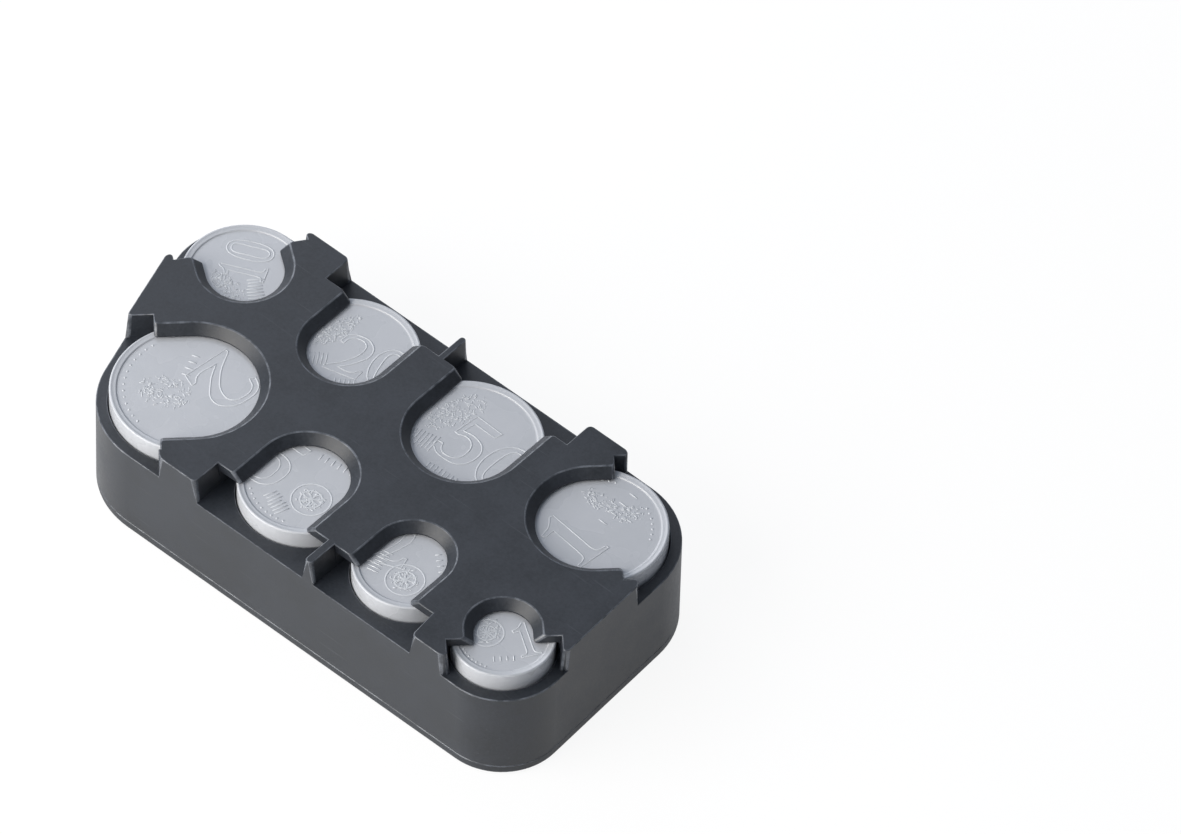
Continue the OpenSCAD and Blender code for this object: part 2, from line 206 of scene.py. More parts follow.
@dataclass(frozen=True)
class SparkErodedAbs:
    """Black ABS from a spark-eroded mould: a fine even grain that spreads every reflection.

    Handling has rubbed the rounded edges to a patchy shine and left faint scratches on the flats.
    The edges' paler colour is partly that wear and partly a painted highlight.
    """

    shade: str = "#2b2f36"
    shade_low: str = "#1a1e24"
    # The edges' paler colour: partly wear, partly a painted highlight.
    edge_highlight_shade: str = "#63676e"
    roughness_low: float = 0.38
    roughness_high: float = 0.50
    edge_roughness: float = 0.22
    ior: float = 1.53
    # Most of a noise's values lie between these two.
    noise_low: float = 0.38
    noise_high: float = 0.62
    blotch_mm: float = 7.0
    fleck_mm: float = 0.5
    fleck_share: float = 0.5
    # Size of the edges' patches of wear and painted highlight, and the least of them on an edge.
    wear_and_highlight_mm: float = 1.4
    least_wear_and_highlight: float = 0.25
    # The real grain is finer. It is drawn as coarse as it needs to be to show.
    grain_mm: float = 0.22
    grain_depth_mm: float = 0.02
    grain_strength: float = 0.5
    scratch_mm: float = 0.3
    scratch_length_mm: float = 12.0
    scratch_turn_deg: float = 28.0
    scratch_from: float = 0.70
    scratch_to: float = 0.78
    scratch_share: float = 0.14

    def material(self) -> Material:
        """Makes the node material."""
        material, shader, place = start_material("spark_eroded_black_abs")
        blotch = add_node(material, "ShaderNodeTexNoise", {
            "Vector": place, "Scale": per_metre(self.blotch_mm), "Detail": 5.0, "Roughness": 0.6,
        })
        fleck = add_node(material, "ShaderNodeTexNoise", {
            "Vector": place, "Scale": per_metre(self.fleck_mm), "Detail": 4.0, "Roughness": 0.7,
        })
        mottle = add_node(material, "ShaderNodeMix", {
            0: self.fleck_share, 2: blotch.outputs["Fac"], 3: fleck.outputs["Fac"],
        }, data_type="FLOAT")
        cloud = add_node(material, "ShaderNodeMapRange", {
            "Value": mottle.outputs[0], "From Min": self.noise_low, "From Max": self.noise_high,
        }).outputs["Result"]
        shade = add_node(material, "ShaderNodeMix", {
            0: cloud, 6: linear_rgba(self.shade_low), 7: linear_rgba(self.shade),
        }, data_type="RGBA")
        wear_and_highlight = self.wear_and_highlight_share(material, place)
        # Edges take the paler colour, partly wear and partly a painted highlight; scratches take a
        # little of it.
        colour = add_node(material, "ShaderNodeMix", {
            0: wear_and_highlight, 6: shade.outputs[2], 7: linear_rgba(self.edge_highlight_shade),
        }, data_type="RGBA")
        satin = add_node(material, "ShaderNodeMapRange", {
            "Value": cloud, "To Min": self.roughness_low, "To Max": self.roughness_high,
        })
        shine = add_node(material, "ShaderNodeMix", {
            0: wear_and_highlight, 2: satin.outputs["Result"], 3: self.edge_roughness,
        }, data_type="FLOAT")
        grain = add_node(material, "ShaderNodeTexNoise", {
            "Vector": place, "Scale": per_metre(self.grain_mm), "Detail": 2.0,
        })
        bump = add_node(material, "ShaderNodeBump", {
            "Height": grain.outputs["Fac"], "Strength": self.grain_strength,
            "Distance": self.grain_depth_mm * MM,
        })
        fill(shader, {
            "Base Color": colour.outputs[2], "Roughness": shine.outputs[0],
            "Normal": bump.outputs["Normal"], "IOR": self.ior,
        })
        return material

    def wear_and_highlight_share(self, material: Material, place: NodeSocket) -> NodeSocket:
        """Adds the nodes that say how far each spot is rubbed smooth, and how far it gets a painted
        highlight.

        Args:
            material: The plastic's material.
            place: Its Object coordinates.

        Returns:
            The share, near 1 on an edge (wear and painted highlight) and small along a scratch.
        """
        edge = add_node(
            material, "ShaderNodeAttribute", attribute_name="edge", attribute_type="GEOMETRY"
        )
        # Patches where the edges' wear and painted highlight are stronger.
        patch = add_node(material, "ShaderNodeTexNoise", {
            "Vector": place, "Scale": per_metre(self.wear_and_highlight_mm), "Detail": 3.0,
        })
        rubbed = add_node(material, "ShaderNodeMapRange", {
            "Value": patch.outputs["Fac"], "From Min": self.noise_low, "From Max": self.noise_high,
            "To Min": self.least_wear_and_highlight, "To Max": 1.0,
        })
        on_edge = add_node(material, "ShaderNodeMath", {
            0: edge.outputs["Fac"], 1: rubbed.outputs["Result"],
        }, operation="MULTIPLY")
        drawn_out = add_node(material, "ShaderNodeMapping", {
            "Vector": place, "Rotation": (0.0, 0.0, math.radians(self.scratch_turn_deg)),
            "Scale": (self.scratch_mm / self.scratch_length_mm, 1.0, 1.0),
        })
        line = add_node(material, "ShaderNodeTexNoise", {
            "Vector": drawn_out.outputs["Vector"], "Scale": per_metre(self.scratch_mm),
            "Detail": 1.0,
        })
        scratch = add_node(material, "ShaderNodeMapRange", {
            "Value": line.outputs["Fac"], "From Min": self.scratch_from,
            "From Max": self.scratch_to, "To Max": self.scratch_share,
        })
        return add_node(material, "ShaderNodeMath", {
            0: on_edge.outputs[0], 1: scratch.outputs["Result"],
        }, operation="MAXIMUM").outputs[0]


@dataclass(frozen=True)
class SatinGreyAbs:
    """Light grey ABS from a polished mould: smooth, with a soft shine and a trace of flow marks.

    Rims, walls and raised lines are painted paler than the faces: a painted highlight.
    Light also soaks a little way into the plastic.
    """

    flow: Cloud = Cloud(
        size_mm=6.0, detail=2.0, shade_low="#b4b7bc", shade="#bbbdc2",
        roughness_low=0.22, roughness_high=0.34, noise_low=0.3, noise_high=0.7,
    )
    # The paler colour of rims, walls and raised lines: a painted highlight.
    edge_highlight_shade: str = "#cdd0d4"
    ior: float = 1.53
    ripple_mm: float = 1.6
    ripple_depth_mm: float = 0.006
    ripple_strength: float = 0.3
    soak_share: float = 0.12
    soak_mm: float = 0.6

    def material(self) -> Material:
        """Makes the node material."""
        material, shader, place = start_material("satin_grey_abs")
        shade, satin = self.flow.add(material, place)
        edge = add_node(
            material, "ShaderNodeAttribute", attribute_name="edge", attribute_type="GEOMETRY"
        )
        # Marked faces take the painted highlight's paler colour.
        colour = add_node(material, "ShaderNodeMix", {
            0: edge.outputs["Fac"], 6: shade, 7: linear_rgba(self.edge_highlight_shade),
        }, data_type="RGBA")
        ripple = add_node(material, "ShaderNodeTexNoise", {
            "Vector": place, "Scale": per_metre(self.ripple_mm), "Detail": 1.0,
        })
        bump = add_node(material, "ShaderNodeBump", {
            "Height": ripple.outputs["Fac"], "Strength": self.ripple_strength,
            "Distance": self.ripple_depth_mm * MM,
        })
        fill(shader, {
            "Base Color": colour.outputs[2], "Roughness": satin,
            "Normal": bump.outputs["Normal"], "IOR": self.ior,
            "Subsurface Weight": self.soak_share, "Subsurface Radius": (1.0, 1.0, 1.0),
            "Subsurface Scale": self.soak_mm * MM,
        })
        return material


@dataclass(frozen=True)
class DrawnWire:
    """Bright drawn spring wire: steel with fine die lines, seen as short streaks of shine."""

    # Real die lines are finer. These are as coarse as they need to be to show.
    streaks: Cloud = Cloud(
        size_mm=0.25, detail=2.0, shade_low="#85888d", shade="#a9acb1",
        roughness_low=0.22, roughness_high=0.38,
    )

    def material(self) -> Material:
        """Makes the node material."""
        return self.streaks.metal("drawn_spring_wire")


@dataclass(frozen=True)
class ZincPlate:
    """Zinc-plated steel: a bluish silver with cloudy patches of duller shine."""

    patches: Cloud = Cloud(
        size_mm=0.7, detail=4.0, shade_low="#979ba3", shade="#b3b8c0",
        roughness_low=0.25, roughness_high=0.45,
    )

    def material(self) -> Material:
        """Makes the node material."""
        return self.patches.metal("zinc_plated_steel")


@dataclass(frozen=True)
class SoftRubber:
    """Die-cut rubber sheet: matt and faintly pebbled, darker in each pebble's sunken middle."""

    shade: str = "#232427"
    shade_low: str = "#17181a"
    roughness: float = 0.82
    pebble_mm: float = 0.35
    pebble_depth_mm: float = 0.03
    pebble_strength: float = 0.4

    def material(self) -> Material:
        """Makes the node material."""
        material, shader, place = start_material("soft_black_rubber")
        pebble = add_node(material, "ShaderNodeTexVoronoi", {
            "Vector": place, "Scale": per_metre(self.pebble_mm),
        }).outputs["Distance"]
        shade = add_node(material, "ShaderNodeMix", {
            0: pebble, 6: linear_rgba(self.shade_low), 7: linear_rgba(self.shade),
        }, data_type="RGBA")
        bump = add_node(material, "ShaderNodeBump", {
            "Height": pebble, "Strength": self.pebble_strength,
            "Distance": self.pebble_depth_mm * MM,
        })
        fill(shader, {
            "Base Color": shade.outputs[2], "Roughness": self.roughness,
            "Normal": bump.outputs["Normal"],
        })
        return material


# --- From a bmesh to a piece on its body ---


def new_mesh(name: str, bm: BMesh) -> Mesh:
    """Makes a mesh of a bmesh, and frees the bmesh."""
    mesh = bpy.data.meshes.new(name)
    bm.to_mesh(mesh)
    bm.free()
    return mesh


def new_object(name: str, data: ID) -> Object:
    """Makes an object of its data, and puts it in the scene."""
    made = bpy.data.objects.new(name, data)
    bpy.context.scene.collection.objects.link(made)
    return made


def as_made(holder: Object) -> BMesh:
    """Gives the mesh that an object's curve or modifiers make."""
    graph = bpy.context.evaluated_depsgraph_get()
    mesh = bpy.data.meshes.new_from_object(holder.evaluated_get(graph))
    bm = bmesh.new()
    bm.from_mesh(mesh)
    bpy.data.meshes.remove(mesh)
    return bm


def join_into(bm: BMesh, other: BMesh) -> None:
    """Adds another bmesh to bm, and frees it."""
    mesh = new_mesh("joined", other)
    bm.from_mesh(mesh)
    bpy.data.meshes.remove(mesh)


@dataclass
class Bench:
    """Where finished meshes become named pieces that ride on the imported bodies."""

    nodes: dict[str, Object]
    materials: dict[Finish, Material]
    made: list[str] = field(default_factory=list)

    def solid_of(self, node: str, flat_deg: float = 0.3) -> BMesh:
        """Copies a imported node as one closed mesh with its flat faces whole.

        Args:
            node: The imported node's name.
            flat_deg: Faces that meet at less than this angle become one.

        Returns:
            A new bmesh.
        """
        bm = bmesh.new()
        bm.from_mesh(self.nodes[node].data)
        bmesh.ops.remove_doubles(bm, verts=bm.verts, dist=SAME_LEVEL)
        bmesh.ops.dissolve_limit(
            bm, angle_limit=math.radians(flat_deg), verts=bm.verts, edges=bm.edges
        )
        return bm

    def deliver(
        self, name: str, bm: BMesh, finish: Finish, body: str,
        stands_for: Iterable[str] = (), smooth_deg: float = 32.0,
    ) -> Object:
        """Makes the bmesh a smooth-shaded piece that rides on a body, and frees the bmesh.

        Args:
            name: The piece's name.
            bm: The finished mesh, in metres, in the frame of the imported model.
            finish: What it is made of.
            body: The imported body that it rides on.
            stands_for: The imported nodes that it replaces.
            smooth_deg: Edges sharper than this stay sharp.

        Returns:
            The new object.
        """
        mesh = new_mesh(name, bm)
        mesh.materials.append(self.materials[finish])
        mesh.shade_smooth()
        mesh.set_sharp_from_angle(angle=math.radians(smooth_deg))
        piece = new_object(name, mesh)
        flat = piece.modifiers.new("keep_flats_flat", "WEIGHTED_NORMAL")
        flat.keep_sharp = True
        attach(piece, body)
        if stands_for:
            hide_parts(*stands_for)
        self.made.append(name)
        LOG.info("%s: %d faces, %s, on %s", name, len(mesh.polygons), finish.value, body)
        return piece


def edge_layer(bm: BMesh) -> BMLayerItem:
    """Finds or adds the face layer that says how much of an edge's finish a face has."""
    # The layer gives faces a paler colour: on the black plastic partly wear and partly a painted
    # highlight, on the grey plastic a painted highlight.
    layers = bm.faces.layers.float
    return layers.get("edge") or layers.new("edge")


def round_edges(bm: BMesh, edges: Iterable[BMEdge], radius: float, segments: int = 3) -> None:
    """Rounds edges and marks the new faces in the 'edge' layer.

    Args:
        bm: The mesh.
        edges: The edges to round.
        radius: How far the rounding reaches from each edge, in millimetres.
        segments: Faces across the rounding.
    """
    layer = edge_layer(bm)
    made = bmesh.ops.bevel(
        bm, geom=list(edges), offset=radius * MM, offset_type="OFFSET", segments=segments,
        profile=0.5, affect="EDGES", clamp_overlap=False, material=-1, loop_slide=True,
    )
    # The new faces get the paler edge colour, partly wear and partly a painted highlight.
    for face in made["faces"]:
        face[layer] = 1.0


def mark_paler(bm: BMesh, test: Callable[[Vector], bool], share: float) -> None:
    """Marks in the 'edge' layer the faces whose middles pass a test.

    Args:
        bm: The mesh.
        test: Says whether a face is marked, from its middle in metres.
        share: The mark.
    """
    layer = edge_layer(bm)
    # Marked faces get a painted highlight, a paler colour.
    for face in bm.faces:
        if test(face.calc_center_median()):
            face[layer] = share


def sharp_outside(edge: BMEdge, least_deg: float = 25.0) -> bool:
    """True for an edge that sticks out and turns by at least least_deg."""
    return (
        edge.is_manifold and edge.is_convex
        and edge.calc_face_angle() > math.radians(least_deg)
    )


def room_beside(edge: BMEdge, share: float = 0.49, most: float = 1.0) -> float:
    """Gives the largest rounding that the level edges at an upright edge's ends leave room for.

    Args:
        edge: The upright edge.
        share: How much of a level edge one rounding may take.
        most: The rounding where no level edge meets it, in millimetres.

    Returns:
        The radius in millimetres.
    """
    level = [
        near.calc_length() / MM
        for vert in edge.verts for near in vert.link_edges
        if near is not edge and abs(near.verts[0].co.z - near.verts[1].co.z) < SAME_LEVEL
    ]
    return min(level, default=most / share) * share


def spans(edge: BMEdge, low: float, high: float, slack: float = 0.02) -> bool:
    """True for an edge whose ends lie at the two heights, in millimetres."""
    ends = sorted(v.co.z / MM for v in edge.verts)
    return abs(ends[0] - low) < slack and abs(ends[1] - high) < slack


def sharp_level(bm: BMesh, height: float) -> list[BMEdge]:
    """Lists the level edges that stick out at a height, in millimetres."""
    return [e for e in bm.edges if spans(e, height, height) and sharp_outside(e)]


def outer_loop(edges: Iterable[BMEdge]) -> set[BMEdge]:
    """Picks, from edges at one height, the connected ones that run round the outside.

    Args:
        edges: Edges at one height.

    Returns:
        The edges joined to the one that reaches farthest along +X.
    """
    pool = set(edges)
    start = max(pool, key=lambda e: max(v.co.x for v in e.verts))
    found, queue = {start}, [start]
    while queue:
        here = queue.pop()
        for vert in here.verts:
            for near in vert.link_edges:
                if near in pool and near not in found:
                    found.add(near)
                    queue.append(near)
    return found


def shift(bm: BMesh, x: float, y: float, z: float = 0.0) -> None:
    """Moves a whole mesh by millimetres."""
    bmesh.ops.translate(bm, verts=bm.verts, vec=Vector((x, y, z)) * MM)


def turn_and_shift(bm: BMesh, verts: Iterable[BMVert], x: float, y: float, turn_deg: float) -> None:
    """Turns points round Z by degrees, then moves them by millimetres."""
    spot = Matrix.Translation(Vector((x, y, 0)) * MM)
    turn = Matrix.Rotation(math.radians(turn_deg), 4, "Z")
    bmesh.ops.transform(bm, matrix=spot @ turn, verts=verts)


def stand_up(bm: BMesh) -> None:
    """Turns a flat section upright, so that it can be spun round Z."""
    bmesh.ops.transform(bm, matrix=Matrix.Rotation(math.radians(90), 4, "X"), verts=bm.verts)


def turned(profile: list[tuple[float, float]], steps: int = 128) -> BMesh:
    """Spins a closed or axis-to-axis profile round Z.

    Args:
        profile: Points as (radius, height), in millimetres, in order.
        steps: Faces round the axis.

    Returns:
        A closed mesh with outward faces.
    """
    bm = bmesh.new()
    verts = [bm.verts.new((r * MM, 0.0, z * MM)) for r, z in profile]
    edges = [bm.edges.new(pair) for pair in zip(verts, verts[1:])]
    if profile[0][0] > 0 and profile[-1][0] > 0:
        edges.append(bm.edges.new((verts[-1], verts[0])))
    bmesh.ops.spin(
        bm, geom=verts + edges, cent=(0, 0, 0), axis=(0, 0, 1), angle=2 * math.pi,
        steps=steps, use_merge=True, use_duplicate=False,
    )
    bmesh.ops.remove_doubles(bm, verts=bm.verts, dist=SAME_SPOT)
    bmesh.ops.recalc_face_normals(bm, faces=bm.faces)
    return bm


def arc_points(
    centre: tuple[float, float], radius: float, start_deg: float, end_deg: float, steps: int
) -> list[tuple[float, float]]:
    """Points along an arc of a profile.

    Args:
        centre: The arc's centre as (radius, height).
        radius: Its radius.
        start_deg: Angle of the first point.
        end_deg: Angle of the last point.
        steps: Parts that it is cut into.

    Returns:
        The points in order.
    """
    angles = [math.radians(start_deg + (end_deg - start_deg) * i / steps) for i in range(steps + 1)]
    return [(centre[0] + radius * math.cos(a), centre[1] + radius * math.sin(a)) for a in angles]


# --- Housing and base cover ---


@dataclass
class Housing:
    """The moulded body: deck, retaining plate with its lips, and outer wall."""

    plate_z: float = 22.3
    land_z: float = 20.95
    lip_z: float = 20.7
    deck_z: float = 17.55
    seam_z: float = 2.0
    corner_round: float = 0.8
    tip_round: float = 0.5
    plate_round: float = 0.16
    deck_round: float = 0.18
    seam_round: float = 0.12
    heal: float = 0.04

    def build(self, bench: Bench) -> None:
        """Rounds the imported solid's outer edges as the mould leaves them."""
        bm = bench.solid_of("housing")
        self.round_upright(bm, [(self.deck_z, self.plate_z)], self.corner_round)
        lips = [(self.lip_z, self.land_z), (self.land_z, self.plate_z)]
        self.round_upright(bm, lips, self.tip_round)
        round_edges(bm, sharp_level(bm, self.plate_z), self.plate_round)
        plate = [v for v in bm.verts if abs(v.co.z - self.plate_z * MM) < SAME_LEVEL]
        bmesh.ops.remove_doubles(bm, verts=plate, dist=self.heal * MM)
        round_edges(bm, sharp_level(bm, self.deck_z), self.deck_round)
        round_edges(bm, outer_loop(sharp_level(bm, self.seam_z)), self.seam_round, segments=2)
        bench.deliver("housing_shell", bm, Finish.BLACK_PLASTIC, "housing", ["housing"])

    @staticmethod
    def round_upright(bm: BMesh, heights: list[tuple[float, float]], radius: float) -> None:
        """Rounds the upright edges that stick out, each as far as it has room.

        Args:
            bm: The mesh.
            heights: Where such edges start and end, in millimetres.
            radius: The rounding where there is room, in millimetres.
        """
        by_radius: dict[float, list[BMEdge]] = {}
        for edge in bm.edges:
            if sharp_outside(edge) and any(spans(edge, low, high) for low, high in heights):
                by_radius.setdefault(round(min(radius, room_beside(edge)), 3), []).append(edge)
        for reach in sorted(by_radius, reverse=True):
            round_edges(bm, [e for e in by_radius[reach] if e.is_valid], reach, segments=4)


@dataclass
class BaseCover:
    """The plate that closes the housing from below."""

    top_z: float = 2.0
    bottom_z: float = 0.4
    top_round: float = 0.18
    bottom_round: float = 0.35
    hole_round: float = 0.12

    def build(self, bench: Bench) -> None:
        """Rounds the cover's outline and the mouths of its screw and pad recesses."""
        bm = bench.solid_of("base_cover")
        for height, radius in ((self.top_z, self.top_round), (self.bottom_z, self.bottom_round)):
            round_edges(bm, outer_loop(sharp_level(bm, height)), radius)
        round_edges(bm, sharp_level(bm, self.bottom_z), self.hole_round, segments=2)
        bench.deliver("base_cover_plate", bm, Finish.BLACK_PLASTIC, "housing", ["base_cover"])


# --- Raised numerals and patterns on the pushers ---


class Motif(Enum):
    """The plain patterns that share a pusher's face with its numeral."""

    BEADS = "an arc of beads round the pusher's centre"
    BARS = "parallel bars"
    PEBBLES = "scattered short strokes and dots"
    ROSETTE = "rings crossed by curved spokes"
    DASHES = "a row of short bars"


@dataclass(frozen=True)
class Pattern:
    """One pattern on a pusher's face, in millimetres from the pusher's centre."""

    motif: Motif
    x: float
    y: float
    turn_deg: float
    length: float
    width: float
    count: int
    seed: int = 1

    def at(self, along: float, across: float = 0.0) -> tuple[float, float]:
        """The spot that is so far along and across the pattern's direction from its middle."""
        a = math.radians(self.turn_deg)
        return (
            self.x + along * math.cos(a) - across * math.sin(a),
            self.y + along * math.sin(a) + across * math.cos(a),
        )

    def steps(self, reach: float) -> list[float]:
        """Spreads the pattern's count evenly over reach, round 0."""
        return [reach * (i / max(1, self.count - 1) - 0.5) for i in range(self.count)]


# Digits as closed outlines in a box 100 high, with the middle of their width at x = 0. A point is
# x, y and 1 where the line runs smoothly through it.
DIGITS: dict[str, list[list[tuple[int, int, int]]]] = {
    "0": [
        [(0, 0, 1), (31, 50, 1), (0, 100, 1), (-31, 50, 1)],
        [(0, 9, 1), (-15, 50, 1), (0, 91, 1), (15, 50, 1)],
    ],
    "1": [[
        (-24, 0, 0), (24, 0, 0), (24, 5, 0), (11, 9, 1), (8, 18, 0), (8, 100, 0), (2, 100, 0),
        (-10, 87, 1), (-25, 82, 0), (-23, 76, 0), (-8, 78, 0), (-8, 18, 0), (-11, 9, 1),
        (-24, 5, 0),
    ]],
    "2": [[
        (-31, 0, 0), (30, 0, 0), (34, 22, 0), (28, 22, 0), (20, 13, 1), (-8, 13, 0), (16, 38, 1),
        (31, 70, 1), (20, 93, 1), (-1, 100, 1), (-22, 93, 1), (-30, 73, 0), (-23, 70, 0),
        (-17, 86, 1), (-2, 92, 1), (13, 85, 1), (15, 66, 1), (0, 36, 1), (-31, 6, 0),
    ]],
    "5": [[
        (-20, 100, 0), (27, 100, 0), (23, 86, 0), (-13, 86, 0), (-16, 63, 0), (4, 66, 1),
        (25, 56, 1), (31, 34, 1), (22, 9, 1), (-3, 0, 1), (-23, 5, 1), (-30, 18, 1),
        (-21, 22, 0), (-14, 10, 1), (-1, 8, 1), (11, 15, 1), (15, 33, 1), (9, 51, 1),
        (-5, 57, 1), (-17, 52, 0), (-23, 52, 0),
    ]],
}


@dataclass(frozen=True)
class Numeral:
    """A raised outline numeral, in millimetres from the pusher's centre."""

    text: str
    x: float
    y: float
    turn_deg: float
    height: float
    widen: float = 1.0


@dataclass
class Relief:
    """The raised outline numeral and patterns on one pusher's face."""

    numeral: Numeral
    patterns: list[Pattern]
    line_w: float = 0.26
    line_h: float = 0.08
    digit_step: float = 0.7
    # How much painted highlight, as a paler colour, the raised lines get.
    paler: float = 0.9
    bead_w: float = 0.42
    bead_h: float = 0.1
    bar_slip: float = 0.2
    bar_least: float = 0.8
    pebble_lengths: tuple[float, ...] = (0.0, 0.0, 0.2, 0.35, 0.55)
    pebble_widths: tuple[float, float] = (0.15, 0.27)
    pebble_heights: tuple[float, float] = (0.05, 0.08)
    ring_steps: int = 14
    inner_ring: float = 0.55
    spoke_bend: float = 0.62
    spoke_turn_deg: float = 120
    spoke_sweep_deg: float = 100

    def mesh(self, face_z: float) -> BMesh:
        """Builds the relief round the origin.

        Args:
            face_z: Height of the pusher's face, in millimetres.

        Returns:
            The relief's mesh, sunk half its thickness into the face.
        """
        bm = bmesh.new()
        self.add_numeral(bm)
        makers = {
            Motif.BEADS: self.add_beads,
            Motif.BARS: self.add_bars,
            Motif.PEBBLES: self.add_pebbles,
            Motif.ROSETTE: self.add_rosette,
            Motif.DASHES: self.add_dashes,
        }
        for pattern in self.patterns:
            group = bmesh.new()
            makers[pattern.motif](group, pattern)
            join_into(bm, group)
        shift(bm, 0, 0, face_z)
        # The raised lines are painted paler, as a painted highlight.
        mark_paler(bm, lambda middle: True, self.paler)
        return bm

    def add_numeral(self, bm: BMesh) -> None:
        """Adds the numeral as a raised outline."""
        n = self.numeral
        curve = bpy.data.curves.new("numeral", "CURVE")
        curve.dimensions = "3D"
        curve.resolution_u = 6
        curve.bevel_depth = self.line_w / 2 * MM
        curve.bevel_resolution = 1
        for i, digit in enumerate(n.text):
            middle = self.digit_step * (i - (len(n.text) - 1) / 2)
            for outline in DIGITS[digit]:
                line = curve.splines.new("BEZIER")
                line.bezier_points.add(len(outline) - 1)
                line.use_cyclic_u = True
                for point, (x, y, smooth) in zip(line.bezier_points, outline):
                    spot = Vector(((middle + x / 100) * n.widen, y / 100 - 0.5, 0))
                    point.co = spot * n.height * MM
                    point.handle_left_type = "AUTO" if smooth else "VECTOR"
                    point.handle_right_type = "AUTO" if smooth else "VECTOR"
        writer = new_object("numeral", curve)
        drawn = as_made(writer)
        bpy.data.objects.remove(writer)
        bmesh.ops.remove_doubles(drawn, verts=drawn.verts, dist=SAME_SPOT)
        bmesh.ops.scale(drawn, verts=drawn.verts, vec=(1, 1, 2 * self.line_h / self.line_w))
        turn_and_shift(drawn, drawn.verts, n.x, n.y, n.turn_deg)
        bmesh.ops.recalc_face_normals(drawn, faces=drawn.faces)
        join_into(bm, drawn)

    def add_stroke(
        self, bm: BMesh, spot: tuple[float, float], turn_deg: float, length: float,
        width: float | None = None, height: float | None = None,
    ) -> None:
        """Adds a raised stroke with round ends, or a bead where its length is 0.

        Args:
            bm: The relief's mesh.
            spot: Its middle.
            turn_deg: Its direction.
            length: Distance between the centres of its round ends.
            width: Its width, or none for the relief's line.
            height: Its height, or none for the relief's line.
        """
        half_w = (width or self.line_w) / 2
        made = bmesh.ops.create_uvsphere(bm, u_segments=8, v_segments=4, radius=half_w * MM)
        verts = made["verts"]
        bmesh.ops.scale(bm, verts=verts, vec=(1, 1, (height or self.line_h) / half_w))
        for side in (1, -1):
            end = [v for v in verts if side * v.co.x > 0.01 * half_w * MM]
            bmesh.ops.translate(bm, verts=end, vec=(side * length / 2 * MM, 0, 0))
        turn_and_shift(bm, verts, *spot, turn_deg)

    def add_curve(
        self, bm: BMesh, spot: tuple[float, float], radius: float,
        start_deg: float, sweep_deg: float,
    ) -> None:
        """Adds a raised arc or ring.

        Args:
            bm: The relief's mesh.
            spot: Its centre.
            radius: Its radius.
            start_deg: Where it starts.
            sweep_deg: How far it turns.
        """
        ring = bmesh.new()
        bmesh.ops.create_circle(ring, cap_ends=False, segments=6, radius=1.0)
        bmesh.ops.scale(ring, verts=ring.verts, vec=(self.line_w / 2 * MM, self.line_h * MM, 1))
        stand_up(ring)
        shift(ring, radius, 0)
        steps = max(4, round(sweep_deg / 360 * self.ring_steps * math.sqrt(radius) + 3))
        whole = sweep_deg >= 360
        bmesh.ops.spin(
            ring, geom=list(ring.verts) + list(ring.edges), cent=(0, 0, 0), axis=(0, 0, 1),
            angle=math.radians(sweep_deg), steps=steps * (2 if whole else 1),
            use_merge=whole, use_duplicate=False,
        )
        if not whole:
            bmesh.ops.holes_fill(ring, edges=ring.edges, sides=6)
        bmesh.ops.remove_doubles(ring, verts=ring.verts, dist=SAME_SPOT)
        bmesh.ops.recalc_face_normals(ring, faces=ring.faces)
        turn_and_shift(ring, ring.verts, *spot, start_deg)
        join_into(bm, ring)

    def add_beads(self, bm: BMesh, p: Pattern) -> None:
        """Adds beads along an arc of radius length that spans width degrees from turn_deg."""
        for i in range(p.count):
            spot = replace(p, turn_deg=p.turn_deg + p.width * i / (p.count - 1)).at(p.length)
            self.add_stroke(bm, spot, 0, 0, self.bead_w, self.bead_h)

    def add_bars(self, bm: BMesh, p: Pattern) -> None:
        """Adds count parallel bars across width, each about length long."""
        rng = random.Random(p.seed)
        for across in p.steps(p.width):
            spot = p.at(rng.uniform(-self.bar_slip, self.bar_slip), across)
            self.add_stroke(bm, spot, p.turn_deg, p.length * rng.uniform(self.bar_least, 1.0))

    def add_pebbles(self, bm: BMesh, p: Pattern) -> None:
        """Adds strokes and dots scattered over an oval length by width."""
        rng = random.Random(p.seed)
        for _ in range(p.count):
            reach, way = math.sqrt(rng.random()) / 2, rng.uniform(0, 2 * math.pi)
            spot = p.at(p.length * reach * math.cos(way), p.width * reach * math.sin(way))
            length = rng.choice(self.pebble_lengths)
            self.add_stroke(
                bm, spot, rng.uniform(0, 180), length,
                rng.uniform(*self.pebble_widths), rng.uniform(*self.pebble_heights),
            )

    def add_rosette(self, bm: BMesh, p: Pattern) -> None:
        """Adds two rings, the outer one of radius length, crossed by curved spokes."""
        self.add_curve(bm, (p.x, p.y), p.length, 0, 360)
        self.add_curve(bm, (p.x, p.y), p.length * self.inner_ring, 0, 360)
        bend = p.length * self.spoke_bend
        for i in range(p.count):
            turn_deg = p.turn_deg + 360 * i / p.count
            self.add_curve(
                bm, replace(p, turn_deg=turn_deg).at(bend), bend,
                turn_deg + self.spoke_turn_deg, self.spoke_sweep_deg,
            )

    def add_dashes(self, bm: BMesh, p: Pattern) -> None:
        """Adds a row of short bars along turn_deg, each width long, over a row length long."""
        for along in p.steps(p.length):
            self.add_stroke(bm, p.at(along), p.turn_deg + 90, p.width)


# --- Pushers and springs ---


